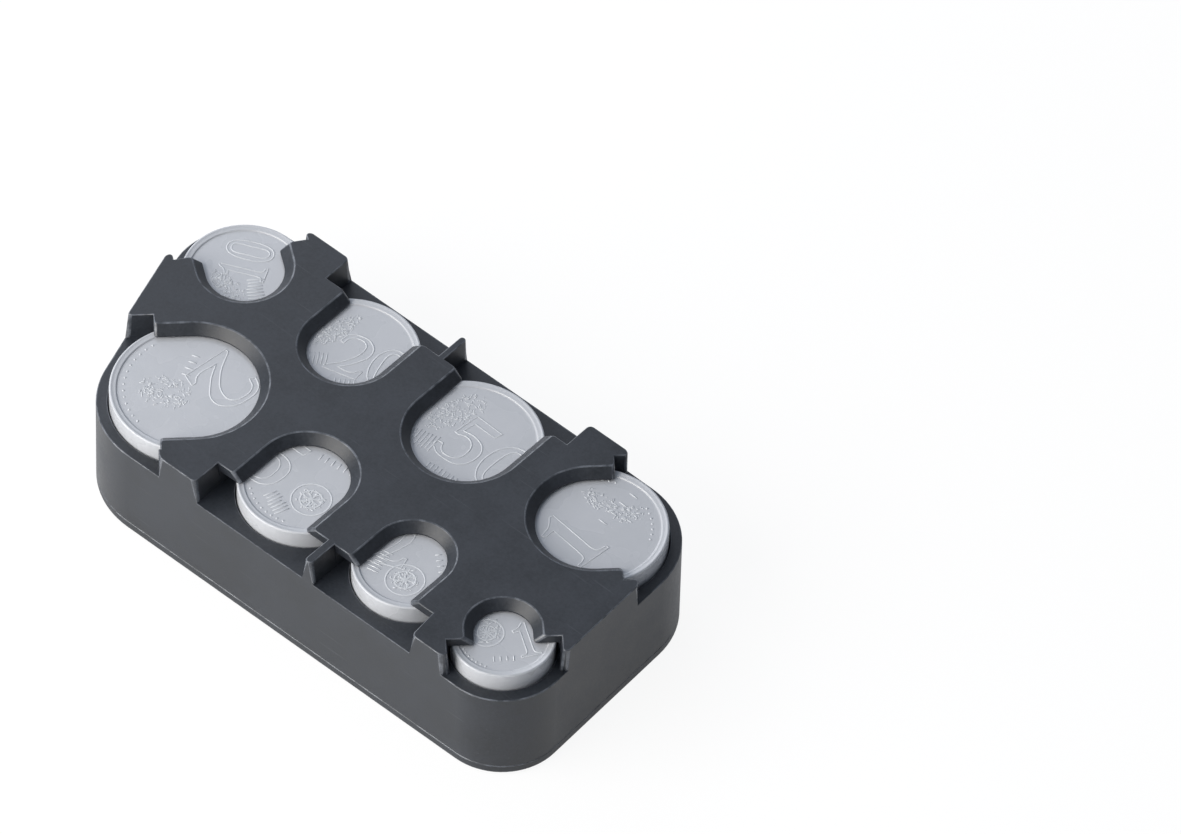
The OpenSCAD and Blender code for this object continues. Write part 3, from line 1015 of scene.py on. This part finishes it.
@dataclass
class Pusher:
    """A cup-shaped pusher with a raised rim, and the spring under it."""

    name: str
    x: float
    y: float
    radius: float
    relief: Relief
    top_z: float = 20.6
    height: float = 5.5
    rim_h: float = 0.3
    rim_w: float = 1.1
    disc_t: float = 1.2
    skirt_t: float = 0.9
    ridge_w: float = 0.45
    ridge_h: float = 0.09
    bank_round: float = 0.4
    # Where the face ends, the bank leaves it and the bank reaches the ridge, all from the rim.
    face_end: float = 0.5
    bank_foot: float = 0.25
    bank_head: float = 0.2
    band_end: float = 0.1
    crown: float = 0.02
    edge_round: float = 0.26
    foot_round: float = 0.15
    inner_round: float = 0.3
    # How much painted highlight, as a paler colour, the rim and outer wall get.
    rim_paler: float = 0.15
    collar_r: float = 3.6
    collar_t: float = 0.9
    collar_h: float = 1.2
    collar_round: float = 0.12
    collar_root: float = 0.2
    seat_z: float = 2.0
    travel: float = 12.2
    spring_d: float = 9.0
    wire_d: float = 0.6
    wire_sides: int = 10
    closed_rise: float = 0.63
    open_turns: float = 4.5
    steps_per_turn: int = 40
    slack: float = 0.05

    @property
    def face_z(self) -> float:
        """Height of the face inside the rim."""
        return self.top_z - self.rim_h

    @property
    def under_z(self) -> float:
        """Height of the disc's underside, where the spring bears."""
        return self.face_z - self.disc_t

    def build(self, bench: Bench) -> None:
        """Makes the pusher, its relief and its spring."""
        body = f"pusher_{self.name}"
        cup = turned(self.cup_profile())
        # The rim and outer wall are painted paler, as a painted highlight.
        band = (self.radius - self.rim_w) * MM
        mark_paler(cup, lambda middle: math.hypot(middle.x, middle.y) > band, self.rim_paler)
        shift(cup, self.x, self.y)
        bench.deliver(f"cup_{self.name}", cup, Finish.GREY_PLASTIC, body, [body], smooth_deg=40)
        raised = self.relief.mesh(self.face_z)
        shift(raised, self.x, self.y)
        bench.deliver(f"relief_{self.name}", raised, Finish.GREY_PLASTIC, body, smooth_deg=60)
        self.build_spring(bench, body)

    def cup_profile(self) -> list[tuple[float, float]]:
        """The half section of the pusher, from the middle of its face to its underside."""
        r, top, face, under = self.radius, self.top_z, self.face_z, self.under_z
        rim, band_z, foot = r - self.rim_w, top - self.ridge_h, top - self.height
        inner, ring_foot = r - self.skirt_t, under - self.collar_h
        ring_out, ring_in = self.collar_r, self.collar_r - self.collar_t
        bank, edge, low, deep = self.bank_round, self.edge_round, self.foot_round, self.inner_round
        lip, root = self.collar_round, self.collar_root
        return [
            (0, face),
            (rim - self.face_end, face),
            *arc_points((rim - self.bank_foot, face + bank), bank, -90, -60, 3),
            *arc_points((rim + self.bank_head, band_z - bank), bank, 120, 90, 3),
            (r - self.ridge_w - self.band_end, band_z),
            *arc_points((r - edge - self.crown, top - edge), edge, 115, 90, 3),
            *arc_points((r - edge, top - edge), edge, 80, 0, 7),
            *arc_points((r - low, foot + low), low, 0, -90, 3),
            *arc_points((inner + low, foot + low), low, -90, -180, 3),
            *arc_points((inner - deep, under - deep), deep, 0, 90, 4),
            *arc_points((ring_out + root, under - root), root, 90, 180, 3),
            *arc_points((ring_out - lip, ring_foot + lip), lip, 0, -90, 2),
            *arc_points((ring_in + lip, ring_foot + lip), lip, -90, -180, 2),
            *arc_points((ring_in - root, under - root), root, 0, 90, 3),
            (0, under),
        ]

    def build_spring(self, bench: Bench, body: str) -> None:
        """Winds the spring, and sets it to ride on its pusher's body.

        Args:
            bench: Where the piece is delivered.
            body: The pusher's body.
        """
        low = self.seat_z + self.slack + self.wire_d / 2
        high = self.under_z - self.slack - self.wire_d / 2
        open_rise = high - low - 2 * self.closed_rise
        bm = bmesh.new()
        bmesh.ops.create_circle(
            bm, cap_ends=True, segments=self.wire_sides, radius=self.wire_d / 2 * MM
        )
        stand_up(bm)
        shift(bm, (self.spring_d - self.wire_d) / 2, 0, low)
        geom: list[Any] = [*bm.verts, *bm.edges, *bm.faces]
        closed_turn = (1.0, self.closed_rise)
        for turns, rise in (closed_turn, (self.open_turns, open_rise), closed_turn):
            steps = round(turns * self.steps_per_turn)
            made = bmesh.ops.spin(
                bm, geom=geom, cent=(0, 0, 0), axis=(0, 0, 1), angle=2 * math.pi * turns,
                dvec=(0, 0, rise / steps * MM), steps=steps, use_duplicate=False,
            )
            geom = made["geom_last"]
        bmesh.ops.recalc_face_normals(bm, faces=bm.faces)
        shift(bm, self.x, self.y)
        piece = bench.deliver(
            f"coil_{self.name}", bm, Finish.SPRING_STEEL, body, [f"spring_{self.name}"], 60
        )
        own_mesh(piece)


# --- Screws and pads ---


@dataclass
class CoverScrews:
    """Three countersunk screws that hold the base cover."""

    spots: tuple[tuple[float, float], ...] = (
        (-27.5987, 5.6981), (-3.7547, 2.4034), (31.0082, -4.6509)
    )
    foot_z: float = 0.4
    head_r: float = 1.8
    head_h: float = 1.0
    head_chamfer: float = 0.1
    shank_r: float = 0.95
    core_r: float = 0.72
    tip_r: float = 0.15
    tip_taper: float = 0.8
    length: float = 7.0
    neck: float = 0.5
    point: float = 0.5
    pitch: float = 0.75
    # Where a turn's flank reaches its crest, leaves it and is back at the core, in pitches.
    crest_from: float = 0.42
    crest_to: float = 0.5
    root_from: float = 0.92
    recess_w: float = 0.42
    recess_h: float = 0.62
    recess_taper: tuple[float, float] = (0.5, 0.6)

    def build(self, bench: Bench) -> None:
        """Turns one screw with its thread rings and cross recess, and sets it three times."""
        bm = bmesh.new()
        for x, y in self.spots:
            one = self.one_screw()
            shift(one, x, y, self.foot_z)
            join_into(bm, one)
        bench.deliver("countersunk_screws", bm, Finish.SCREW_STEEL, "housing", ["cover_screws"], 35)

    def one_screw(self) -> BMesh:
        """Makes a screw that stands on its head at the origin, with a cross recess in the head."""
        thread: list[tuple[float, float]] = []
        z = self.head_h + self.neck
        while z < self.length - 2 * self.point:
            thread += [
                (self.core_r, z), (self.shank_r, z + self.pitch * self.crest_from),
                (self.shank_r, z + self.pitch * self.crest_to),
                (self.core_r, z + self.pitch * self.root_from),
            ]
            z += self.pitch
        body = turned([
            (0, 0), (self.head_r - self.head_chamfer, 0), (self.head_r, self.head_chamfer),
            (self.shank_r, self.head_h), *thread,
            (self.core_r * self.tip_taper, self.length - self.point), (self.tip_r, self.length),
            (0, self.length),
        ], steps=48)
        cutter = bmesh.new()
        for turn_deg in (45, 135):
            blade = bmesh.new()
            bmesh.ops.create_cube(blade, size=1.0)
            bmesh.ops.scale(
                blade, verts=blade.verts,
                vec=(2 * self.shank_r * MM, self.recess_w * MM, 2 * self.recess_h * MM),
            )
            deep = [v for v in blade.verts if v.co.z > 0]
            bmesh.ops.scale(blade, verts=deep, vec=(*self.recess_taper, 1))
            turn_and_shift(blade, blade.verts, 0, 0, turn_deg)
            join_into(cutter, blade)
        return carved(body, cutter)


def carved(body: BMesh, cutter: BMesh) -> BMesh:
    """Takes one mesh out of another.

    Args:
        body: The mesh that is cut. It is freed.
        cutter: The mesh that cuts. It is freed.

    Returns:
        What is left of body.
    """
    block = new_object("carved_body", new_mesh("carved_body", body))
    tool = new_object("carving_tool", new_mesh("carving_tool", cutter))
    cut = block.modifiers.new("cut", "BOOLEAN")
    cut.operation = "DIFFERENCE"
    cut.solver = "EXACT"
    cut.use_self = True
    cut.object = tool
    result = as_made(block)
    for holder in (block, tool):
        bpy.data.objects.remove(holder)
    return result


@dataclass
class BasePads:
    """Four round rubber pads let into the base cover."""

    spots: tuple[tuple[float, float], ...] = (
        (-28.0, -9.7253), (39.3, -14.1753), (35.0, 10.9753), (-37.85, 12.7253)
    )
    radius: float = 4.5
    thickness: float = 1.0
    edge_round: float = 0.15
    # The moulded groove's middle and the flats beside it, as shares of the radius.
    groove_at: float = 0.66
    groove_half: float = 0.06
    groove_deep: float = 0.12

    def build(self, bench: Bench) -> None:
        """Makes the four pads with softened rims and a shallow moulded groove."""
        bm = bmesh.new()
        e, r, t = self.edge_round, self.radius, self.thickness
        at, half = self.groove_at, self.groove_half
        for x, y in self.spots:
            pad = turned([
                (0, t), *arc_points((r - e, t - e), e, 90, 0, 3),
                *arc_points((r - e, e), e, 0, -90, 4), (r * (at + half), 0),
                *arc_points((r * at, 0), self.groove_deep, 0, 180, 4), (r * (at - half), 0),
                    (0, 0),
            ], steps=64)
            shift(pad, x, y)
            join_into(bm, pad)
        bench.deliver("rubber_pads", bm, Finish.PAD_RUBBER, "housing", ["base_pads"], 40)


# --- The whole sorter ---


def beads(radius: float, start_deg: float, sweep_deg: float, count: int) -> Pattern:
    """An arc of beads round the pusher's centre."""
    return Pattern(Motif.BEADS, 0, 0, start_deg, radius, sweep_deg, count)


# A pusher's name, middle and radius. Its numeral's digits, middle, direction, height and widening.
# Its patterns' motif, middle, direction, length, width, count and, where they scatter, seed.
PUSHERS: tuple[Pusher, ...] = (
    Pusher("2_euro", -28.0, -9.7253, 12.825, Relief(
        Numeral("2", 2.7, 4.5, -97, 9.8, 1.35),
        [Pattern(Motif.PEBBLES, -2.8, -3.4, 20, 8.5, 6.5, 170, 3),
         Pattern(Motif.DASHES, -3.4, 3.2, 110, 4.0, 1.1, 4),
         beads(10.6, 168, 92, 14)])),
    Pusher("5_cent", -2.9, -11.6753, 10.575, Relief(
        Numeral("5", -6.2, -0.2, 0, 10.2),
        [Pattern(Motif.ROSETTE, 3.0, -2.2, 10, 3.1, 0, 7),
         Pattern(Motif.BARS, -0.6, -6.2, 68, 2.4, 3.9, 7, 5),
         Pattern(Motif.PEBBLES, 3.0, -2.2, 0, 4.6, 4.6, 44, 6),
         Pattern(Motif.DASHES, 1.2, 5.4, 8, 5.6, 1.0, 6),
         beads(8.6, 232, 56, 9)])),
    Pusher("2_cent", 19.65, -12.6253, 9.325, Relief(
        Numeral("2", -5.0, 1.0, 24, 9.4),
        [Pattern(Motif.ROSETTE, 1.5, -3.4, 0, 3.0, 0, 7),
         Pattern(Motif.PEBBLES, 1.5, -3.4, 0, 4.6, 4.6, 50, 8),
         Pattern(Motif.BARS, -3.8, -3.2, 12, 2.0, 4.2, 7, 9),
         Pattern(Motif.DASHES, 3.2, 2.6, -40, 3.4, 0.8, 4)])),
    Pusher("1_cent", 39.3, -14.1753, 8.075, Relief(
        Numeral("1", 3.0, 1.9, 57, 6.6),
        [Pattern(Motif.ROSETTE, -2.2, -1.2, 0, 2.6, 0, 6),
         Pattern(Motif.PEBBLES, -2.4, -0.8, 0, 4.4, 5.0, 60, 12),
         Pattern(Motif.DASHES, 3.0, -3.2, 45, 3.0, 0.8, 4),
         beads(6.5, 238, 50, 8)])),
    Pusher("10_cent", -37.85, 12.7253, 9.825, Relief(
        Numeral("10", -1.6, 2.1, 115, 7.5, 0.8),
        [Pattern(Motif.PEBBLES, -0.2, -3.6, -12, 8.0, 3.4, 120, 15),
         Pattern(Motif.BARS, 3.6, -1.4, 46, 2.6, 4.4, 8, 16)])),
    Pusher("20_cent", -15.2, 11.4753, 11.075, Relief(
        Numeral("20", 3.4, 0.9, 15, 8.2, 1.1),
        [Pattern(Motif.PEBBLES, -4.6, 2.4, 80, 9.0, 3.4, 165, 18),
         Pattern(Motif.BARS, -3.2, -4.0, 122, 2.4, 3.2, 6, 19),
         Pattern(Motif.DASHES, 3.2, -4.6, 34, 3.0, 0.9, 5)])),
    Pusher("50_cent", 9.6, 10.4753, 12.075, Relief(
        Numeral("50", 3.9, 0.0, -2, 9.6, 1.15),
        [Pattern(Motif.PEBBLES, -5.0, 3.4, 70, 11.0, 5.0, 200, 22),
         Pattern(Motif.BARS, -5.4, -4.0, 96, 3.4, 4.4, 8, 23),
         Pattern(Motif.DASHES, 1.8, -7.0, 4, 6.0, 1.0, 9)])),
    Pusher("1_euro", 35.0, 10.9753, 11.575, Relief(
        Numeral("1", -0.9, -3.9, 84, 10.3, 1.2),
        [Pattern(Motif.PEBBLES, -2.6, 4.6, 0, 6.4, 3.2, 85, 25),
         Pattern(Motif.PEBBLES, 2.6, 5.6, 60, 5.0, 3.0, 60, 26),
         Pattern(Motif.DASHES, 0.5, 5.2, 90, 7.0, 1.4, 4),
         beads(9.4, 110, 52, 9), beads(9.0, 26, 40, 7)])),
)


# --- Camera, floor and lamps ---


def way_to(azimuth_deg: float, elevation_deg: float) -> Vector:
    """Points from the sorter to a place in the studio, its azimuth counted from -Y towards +X."""
    a, e = math.radians(azimuth_deg), math.radians(elevation_deg)
    return Vector((math.sin(a) * math.cos(e), -math.cos(a) * math.cos(e), math.sin(e)))


@dataclass
class Viewpoint:
    """The camera: a long lens, high over the sorter's front right corner."""

    target: tuple[float, float, float] = (17.592, 30.183, 15.4)
    azimuth_deg: float = 40.204
    elevation_deg: float = 49.573
    roll_deg: float = 1.829
    distance: float = 2272.2
    lens: float = 454.3
    sensor: float = 36.0
    clip_m: tuple[float, float] = (0.1, 20.0)

    def build(self) -> None:
        """Sets the camera up and makes it the scene's."""
        back = way_to(self.azimuth_deg, self.elevation_deg)
        turn = Matrix.Rotation(math.radians(self.roll_deg), 3, back)
        right = turn @ way_to(self.azimuth_deg + 90, 0)
        up = back.cross(right)
        data = bpy.data.cameras.new("camera")
        data.sensor_fit = "HORIZONTAL"
        data.sensor_width = self.sensor
        data.lens = self.lens
        data.clip_start, data.clip_end = self.clip_m
        camera = new_object("camera", data)
        axes = Matrix((right, up, back)).transposed().to_4x4()
        place = (Vector(self.target) + back * self.distance) * MM
        camera.matrix_world = Matrix.Translation(place) @ axes
        bpy.context.scene.camera = camera


@dataclass(frozen=True)
class Softbox:
    """A square area lamp, aimed at the sorter. Its distance and side are in metres."""

    name: str
    azimuth_deg: float
    elevation_deg: float
    distance: float
    side: float
    watts: float
    colour: str

    def build(self) -> None:
        """Hangs the lamp."""
        away = way_to(self.azimuth_deg, self.elevation_deg)
        data = bpy.data.lights.new(self.name, "AREA")
        data.shape = "SQUARE"
        data.size = self.side
        data.energy = self.watts
        data.color = linear_rgba(self.colour)[:3]
        lamp = new_object(self.name, data)
        lamp.location = away * self.distance
        lamp.rotation_mode = "QUATERNION"
        lamp.rotation_quaternion = away.to_track_quat("Z", "Y")


@dataclass
class Studio:
    """A white table, a sky that is brightest to the far left, and two soft lamps on that side."""

    table_colour: str = "#f4f4f4"
    table_side_m: float = 12.0
    table_gap: float = 0.01
    white: str = "#ffffff"
    # Just over white, so that the render's noise doesn't grey it.
    seen_white: float = 1.03
    table_share: float = 0.88
    table_mirrored: float = 0.5
    sky_mirrored: float = 0.06
    sky_colour: str = "#dde7f6"
    sky_strength: float = 0.53
    sky_dimmest: float = 0.3
    bright_way: tuple[float, float, float] = (-0.75, -0.05, 0.66)
    dim_at: float = -0.3
    bright_at: float = 0.7
    lamps: tuple[Softbox, ...] = (
        Softbox("key_lamp", -22.0, 28.0, 0.60, 0.60, 5.8, "#fffbf5"),
        Softbox("side_lamp", -116.0, 30.0, 0.50, 0.35, 0.77, "#f4f7ff"),
    )

    def build(self) -> None:
        """Lays the table, hangs the lamps and sets the sky."""
        self.lay_table()
        for lamp in self.lamps:
            lamp.build()
        self.set_sky()
        bpy.context.scene.view_settings.view_transform = "Standard"

    def whitened(
        self, owner: Owner, lit: NodeSocket, white_kind: str, share: float, mirrored: float
    ) -> NodeSocket:
        """Adds the nodes that turn a backdrop plain white where the camera sees it.

        Args:
            owner: The backdrop's material or world.
            lit: Its own shader.
            white_kind: The type of node that gives off the white.
            share: How much of it is white where the camera sees it.
            mirrored: The same where a piece mirrors it.

        Returns:
            The shader for each ray.
        """
        ray = add_node(owner, "ShaderNodeLightPath")
        bounced = add_node(owner, "ShaderNodeMath", {
            0: ray.outputs["Is Glossy Ray"], 1: ray.outputs["Is Transmission Ray"],
        }, operation="MAXIMUM")
        faint = add_node(
            owner, "ShaderNodeMath", {0: bounced.outputs[0], 1: mirrored}, operation="MULTIPLY"
        )
        seen = add_node(owner, "ShaderNodeMath", {
            0: ray.outputs["Is Camera Ray"], 1: share,
        }, operation="MULTIPLY")
        part = add_node(
            owner, "ShaderNodeMath", {0: faint.outputs[0], 1: seen.outputs[0]}, operation="MAXIMUM"
        )
        plain = add_node(
            owner, white_kind, {"Color": linear_rgba(self.white), "Strength": self.seen_white}
        )
        return add_node(
            owner, "ShaderNodeMixShader", {0: part.outputs[0], 1: lit, 2: plain.outputs[0]}
        ).outputs["Shader"]

    def set_sky(self) -> None:
        """Makes the sky: pale where it lights the sorter, white where it is seen."""
        world = with_nodes(bpy.data.worlds.new("studio"))
        toward = add_node(world, "ShaderNodeVectorMath", {
            0: add_node(world, "ShaderNodeTexCoord").outputs["Generated"], 1: self.bright_way,
        }, operation="DOT_PRODUCT")
        strength = add_node(world, "ShaderNodeMapRange", {
            "Value": toward.outputs["Value"], "From Min": self.dim_at, "From Max": self.bright_at,
            "To Min": self.sky_strength * self.sky_dimmest, "To Max": self.sky_strength,
        })
        sky = add_node(world, "ShaderNodeBackground", {
            "Color": linear_rgba(self.sky_colour), "Strength": strength.outputs["Result"],
        }).outputs["Background"]
        shown = self.whitened(world, sky, "ShaderNodeBackground", 1.0, self.sky_mirrored)
        add_node(world, "ShaderNodeOutputWorld", {"Surface": shown})
        bpy.context.scene.world = world

    def lay_table(self) -> None:
        """Makes the table's top just under the pads that stand on it."""
        bm = bmesh.new()
        bmesh.ops.create_grid(bm, x_segments=1, y_segments=1, size=self.table_side_m / 2)
        shift(bm, 0, 0, -self.table_gap)
        mesh = new_mesh("table", bm)
        mesh.materials.append(self.table_material())
        new_object("table", mesh)

    def table_material(self) -> Material:
        """Makes matt white paper, with its shadows kept under an even white."""
        material = with_nodes(bpy.data.materials.new("matt_white_paper"))
        paper = add_node(
            material, "ShaderNodeBsdfDiffuse", {"Color": linear_rgba(self.table_colour)}
        ).outputs["BSDF"]
        shown = self.whitened(
            material, paper, "ShaderNodeEmission", self.table_share, self.table_mirrored
        )
        add_node(material, "ShaderNodeOutputMaterial", {"Surface": shown})
        return material


def main() -> None:
    """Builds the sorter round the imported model, and the studio round it."""
    logging.basicConfig(level=logging.INFO, format="%(message)s")
    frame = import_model()
    makers: dict[Finish, Any] = {
        Finish.BLACK_PLASTIC: SparkErodedAbs(),
        Finish.GREY_PLASTIC: SatinGreyAbs(),
        Finish.SPRING_STEEL: DrawnWire(),
        Finish.SCREW_STEEL: ZincPlate(),
        Finish.PAD_RUBBER: SoftRubber(),
    }
    bench = Bench(frame["nodes"], {f: maker.material() for f, maker in makers.items()})
    Viewpoint().build()
    Studio().build()
    Housing().build(bench)
    BaseCover().build(bench)
    for pusher in PUSHERS:
        pusher.build(bench)
    CoverScrews().build(bench)
    BasePads().build(bench)
    LOG.info("%d pieces", len(bench.made))


if __name__ == "__main__":
    main()
